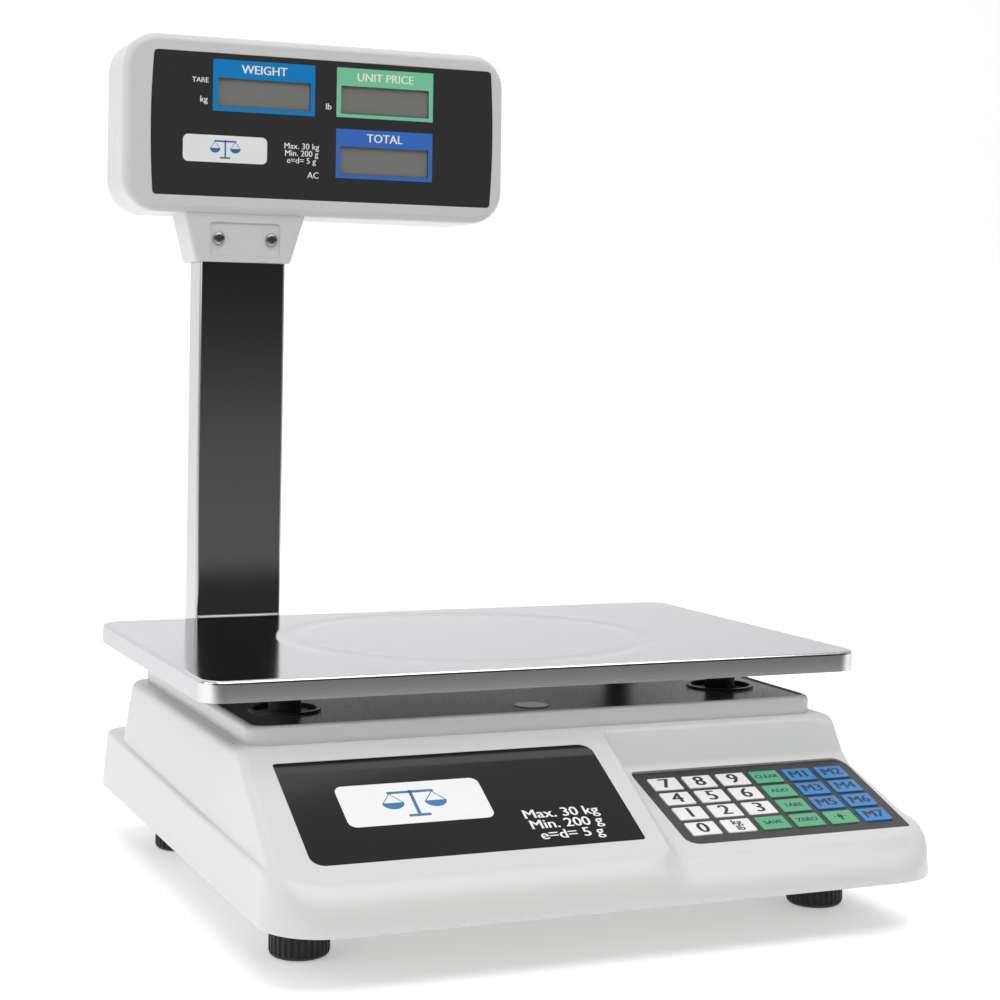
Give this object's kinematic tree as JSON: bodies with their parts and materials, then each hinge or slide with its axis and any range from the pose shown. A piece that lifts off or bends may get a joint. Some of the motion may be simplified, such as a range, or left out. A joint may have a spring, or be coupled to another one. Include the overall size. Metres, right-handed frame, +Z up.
{
  "type": "counter weighing scale with pole display",
  "caption": "Price-computing counter scale: sloped casing with keypad and dark window, flat steel pan on rubber posts, screw feet, and a display head on a rectangular pole.",
  "frame": {"origin": "on the counter, under the middle of the scale's outline", "axes": "+Z up; +X to the operator's right; -Y towards the operator"},
  "size_m": [0.34, 0.36, 0.44],
  "materials": {
    "casing_plastic": "gloss moulded",
    "tray_plastic": "moulded",
    "dark_panel": "gloss",
    "deck_plastic": "gloss",
    "overlay_film": "fine matt",
    "key_white": "satin",
    "key_green": "satin",
    "key_blue": "satin",
    "stainless": "polished",
    "screw_steel": "plain",
    "cell_aluminium": "machined",
    "rubber": "matt",
    "black_plastic": "moulded",
    "lcd_glass": "satin glass",
    "level_glass": "clear",
    "board_green": "solder resist",
    "battery_case": "moulded"
  },
  "bodies": {
    "casing": {"top_cover": "casing_plastic", "base_tray": "tray_plastic", "case_screws": "screw_steel", "deck_panel": "deck_plastic", "front_window": "dark_panel", "keypad_overlay": "overlay_film", "keypad_board": "board_green", "pan_carrier": "cell_aluminium", "pan_posts": "rubber", "load_cell": "cell_aluminium", "load_cell_spacers": "screw_steel", "load_cell_bolts": "screw_steel", "bubble_level": "level_glass", "pole": "stainless", "pole_bracket": "screw_steel", "head_front_shell": "casing_plastic", "head_rear_shell": "casing_plastic", "head_screws": "screw_steel", "front_display_panel": "dark_panel", "rear_display_panel": "dark_panel", "lcd_glasses": "lcd_glass", "display_board": "board_green", "main_board": "board_green", "battery": "battery_case", "supply_socket": "black_plastic", "switch_frame": "black_plastic"},
    "pan": {"weighing_pan": "stainless"},
    "rocker": {"power_rocker": "black_plastic"},
    "key_7": {"key_7": "key_white"},
    "key_8": {"key_8": "key_white"},
    "key_9": {"key_9": "key_white"},
    "key_clear": {"key_clear": "key_green"},
    "key_m1": {"key_m1": "key_blue"},
    "key_m2": {"key_m2": "key_blue"},
    "key_4": {"key_4": "key_white"},
    "key_5": {"key_5": "key_white"},
    "key_6": {"key_6": "key_white"},
    "key_add": {"key_add": "key_green"},
    "key_m3": {"key_m3": "key_blue"},
    "key_m4": {"key_m4": "key_blue"},
    "key_1": {"key_1": "key_white"},
    "key_2": {"key_2": "key_white"},
    "key_3": {"key_3": "key_white"},
    "key_tare": {"key_tare": "key_green"},
    "key_m5": {"key_m5": "key_blue"},
    "key_m6": {"key_m6": "key_blue"},
    "key_0": {"key_0": "key_white"},
    "key_unit": {"key_unit": "key_white"},
    "key_save": {"key_save": "key_green"},
    "key_zero": {"key_zero": "key_green"},
    "key_light": {"key_light": "key_green"},
    "key_m7": {"key_m7": "key_blue"},
    "stud_front_left": {"foot_stud_front_left": "screw_steel"},
    "foot_front_left": {"foot_knob_front_left": "black_plastic"},
    "stud_front_right": {"foot_stud_front_right": "screw_steel"},
    "foot_front_right": {"foot_knob_front_right": "black_plastic"},
    "stud_rear_left": {"foot_stud_rear_left": "screw_steel"},
    "foot_rear_left": {"foot_knob_rear_left": "black_plastic"},
    "stud_rear_right": {"foot_stud_rear_right": "screw_steel"},
    "foot_rear_right": {"foot_knob_rear_right": "black_plastic"}
  },
  "joints": [
    {"name": "pan_lift", "type": "slide", "parent": "casing", "child": "pan", "axis": [0, 0, 1], "range_m": [0, 0.03]},
    {"name": "power_rock", "type": "hinge", "parent": "casing", "child": "rocker", "pos_m": [0.1589, 0.076, 0.04], "axis": [0, 0, 1], "range_deg": [-18, 0]},
    {"name": "press_7", "type": "slide", "parent": "casing", "child": "key_7", "axis": [0, 0.314, -0.9494], "range_m": [0, 0.0006], "stiffness_N_per_m": 1500},
    {"name": "press_8", "type": "slide", "parent": "casing", "child": "key_8", "axis": [0, 0.314, -0.9494], "range_m": [0, 0.0006], "stiffness_N_per_m": 1500},
    {"name": "press_9", "type": "slide", "parent": "casing", "child": "key_9", "axis": [0, 0.314, -0.9494], "range_m": [0, 0.0006], "stiffness_N_per_m": 1500},
    {"name": "press_clear", "type": "slide", "parent": "casing", "child": "key_clear", "axis": [0, 0.314, -0.9494], "range_m": [0, 0.0006], "stiffness_N_per_m": 1500},
    {"name": "press_m1", "type": "slide", "parent": "casing", "child": "key_m1", "axis": [0, 0.314, -0.9494], "range_m": [0, 0.0006], "stiffness_N_per_m": 1500},
    {"name": "press_m2", "type": "slide", "parent": "casing", "child": "key_m2", "axis": [0, 0.314, -0.9494], "range_m": [0, 0.0006], "stiffness_N_per_m": 1500},
    {"name": "press_4", "type": "slide", "parent": "casing", "child": "key_4", "axis": [0, 0.314, -0.9494], "range_m": [0, 0.0006], "stiffness_N_per_m": 1500},
    {"name": "press_5", "type": "slide", "parent": "casing", "child": "key_5", "axis": [0, 0.314, -0.9494], "range_m": [0, 0.0006], "stiffness_N_per_m": 1500},
    {"name": "press_6", "type": "slide", "parent": "casing", "child": "key_6", "axis": [0, 0.314, -0.9494], "range_m": [0, 0.0006], "stiffness_N_per_m": 1500},
    {"name": "press_add", "type": "slide", "parent": "casing", "child": "key_add", "axis": [0, 0.314, -0.9494], "range_m": [0, 0.0006], "stiffness_N_per_m": 1500},
    {"name": "press_m3", "type": "slide", "parent": "casing", "child": "key_m3", "axis": [0, 0.314, -0.9494], "range_m": [0, 0.0006], "stiffness_N_per_m": 1500},
    {"name": "press_m4", "type": "slide", "parent": "casing", "child": "key_m4", "axis": [0, 0.314, -0.9494], "range_m": [0, 0.0006], "stiffness_N_per_m": 1500},
    {"name": "press_1", "type": "slide", "parent": "casing", "child": "key_1", "axis": [0, 0.314, -0.9494], "range_m": [0, 0.0006], "stiffness_N_per_m": 1500},
    {"name": "press_2", "type": "slide", "parent": "casing", "child": "key_2", "axis": [0, 0.314, -0.9494], "range_m": [0, 0.0006], "stiffness_N_per_m": 1500},
    {"name": "press_3", "type": "slide", "parent": "casing", "child": "key_3", "axis": [0, 0.314, -0.9494], "range_m": [0, 0.0006], "stiffness_N_per_m": 1500},
    {"name": "press_tare", "type": "slide", "parent": "casing", "child": "key_tare", "axis": [0, 0.314, -0.9494], "range_m": [0, 0.0006], "stiffness_N_per_m": 1500},
    {"name": "press_m5", "type": "slide", "parent": "casing", "child": "key_m5", "axis": [0, 0.314, -0.9494], "range_m": [0, 0.0006], "stiffness_N_per_m": 1500},
    {"name": "press_m6", "type": "slide", "parent": "casing", "child": "key_m6", "axis": [0, 0.314, -0.9494], "range_m": [0, 0.0006], "stiffness_N_per_m": 1500},
    {"name": "press_0", "type": "slide", "parent": "casing", "child": "key_0", "axis": [0, 0.314, -0.9494], "range_m": [0, 0.0006], "stiffness_N_per_m": 1500},
    {"name": "press_unit", "type": "slide", "parent": "casing", "child": "key_unit", "axis": [0, 0.314, -0.9494], "range_m": [0, 0.0006], "stiffness_N_per_m": 1500},
    {"name": "press_save", "type": "slide", "parent": "casing", "child": "key_save", "axis": [0, 0.314, -0.9494], "range_m": [0, 0.0006], "stiffness_N_per_m": 1500},
    {"name": "press_zero", "type": "slide", "parent": "casing", "child": "key_zero", "axis": [0, 0.314, -0.9494], "range_m": [0, 0.0006], "stiffness_N_per_m": 1500},
    {"name": "press_light", "type": "slide", "parent": "casing", "child": "key_light", "axis": [0, 0.314, -0.9494], "range_m": [0, 0.0006], "stiffness_N_per_m": 1500},
    {"name": "press_m7", "type": "slide", "parent": "casing", "child": "key_m7", "axis": [0, 0.314, -0.9494], "range_m": [0, 0.0006], "stiffness_N_per_m": 1500},
    {"name": "extend_front_left", "type": "slide", "parent": "casing", "child": "stud_front_left", "axis": [0, 0, -1], "range_m": [0, 0.0075]},
    {"name": "turn_front_left", "type": "hinge", "parent": "stud_front_left", "child": "foot_front_left", "pos_m": [-0.1308, -0.11, 0.012], "axis": [0, 0, 1], "range_deg": [0, 2160]},
    {"name": "extend_front_right", "type": "slide", "parent": "casing", "child": "stud_front_right", "axis": [0, 0, -1], "range_m": [0, 0.0075]},
    {"name": "turn_front_right", "type": "hinge", "parent": "stud_front_right", "child": "foot_front_right", "pos_m": [0.1308, -0.11, 0.012], "axis": [0, 0, 1], "range_deg": [0, 2160]},
    {"name": "extend_rear_left", "type": "slide", "parent": "casing", "child": "stud_rear_left", "axis": [0, 0, -1], "range_m": [0, 0.0075]},
    {"name": "turn_rear_left", "type": "hinge", "parent": "stud_rear_left", "child": "foot_rear_left", "pos_m": [-0.1308, 0.105, 0.012], "axis": [0, 0, 1], "range_deg": [0, 2160]},
    {"name": "extend_rear_right", "type": "slide", "parent": "casing", "child": "stud_rear_right", "axis": [0, 0, -1], "range_m": [0, 0.0075]},
    {"name": "turn_rear_right", "type": "hinge", "parent": "stud_rear_right", "child": "foot_rear_right", "pos_m": [0.1308, 0.105, 0.012], "axis": [0, 0, 1], "range_deg": [0, 2160]}
  ],
  "couplings": [
    {"joint": "extend_front_left", "follows": "turn_front_left", "m_per_rad": 0.00019894},
    {"joint": "extend_front_right", "follows": "turn_front_right", "m_per_rad": 0.00019894},
    {"joint": "extend_rear_left", "follows": "turn_rear_left", "m_per_rad": 0.00019894},
    {"joint": "extend_rear_right", "follows": "turn_rear_right", "m_per_rad": 0.00019894}
  ]
}
